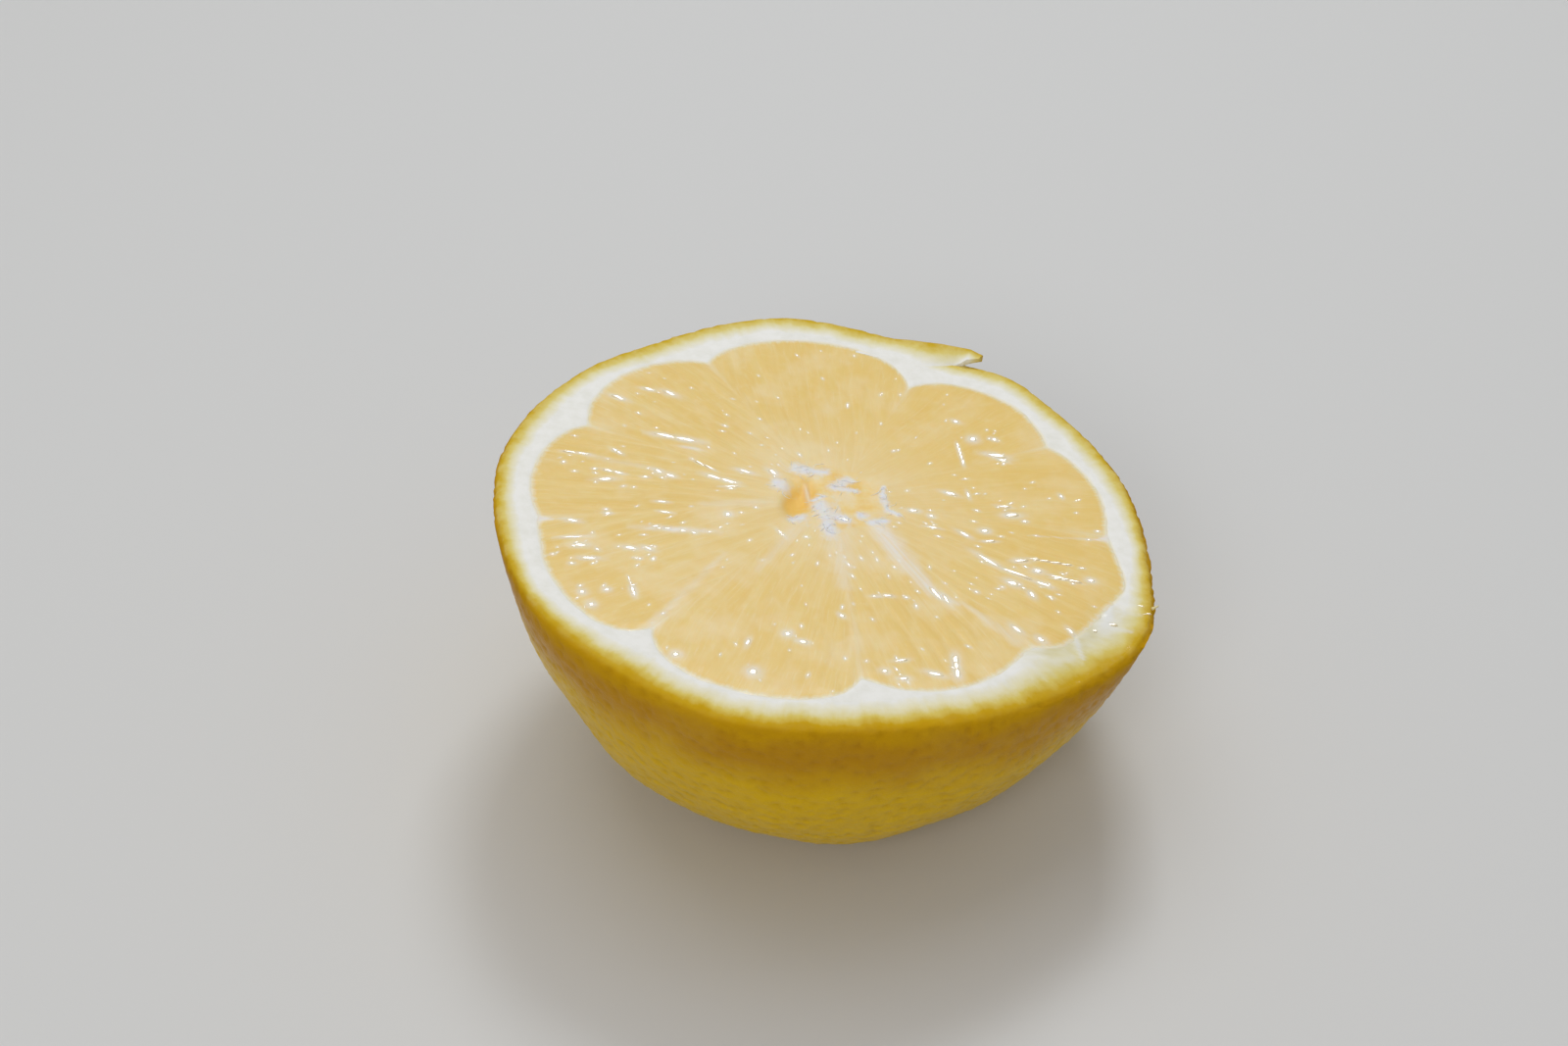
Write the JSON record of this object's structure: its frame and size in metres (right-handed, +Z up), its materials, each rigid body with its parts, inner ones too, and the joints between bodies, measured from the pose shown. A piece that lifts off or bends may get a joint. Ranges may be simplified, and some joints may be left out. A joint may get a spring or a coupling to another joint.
{
  "type": "lemon half",
  "caption": "Half a ripe lemon lying cut face up: a domed yellow rind, a white pith ring, wedge-shaped pulp segments and a small fibrous core.",
  "frame": {"origin": "on the resting plane, below the middle of the half's box", "axes": "+Z up, out of the cut face; +X towards the side where the cut face lies lowest; +Y towards the loose tongue of peel"},
  "size_m": [0.0598, 0.0604, 0.0292],
  "materials": {
    "rind": "waxy satin, pebbled",
    "pith": "spongy matte",
    "pulp": "wet gloss",
    "stem": "dry matte"
  },
  "bodies": {
    "root": {"lemon_half": "rind"}
  },
  "joints": []
}
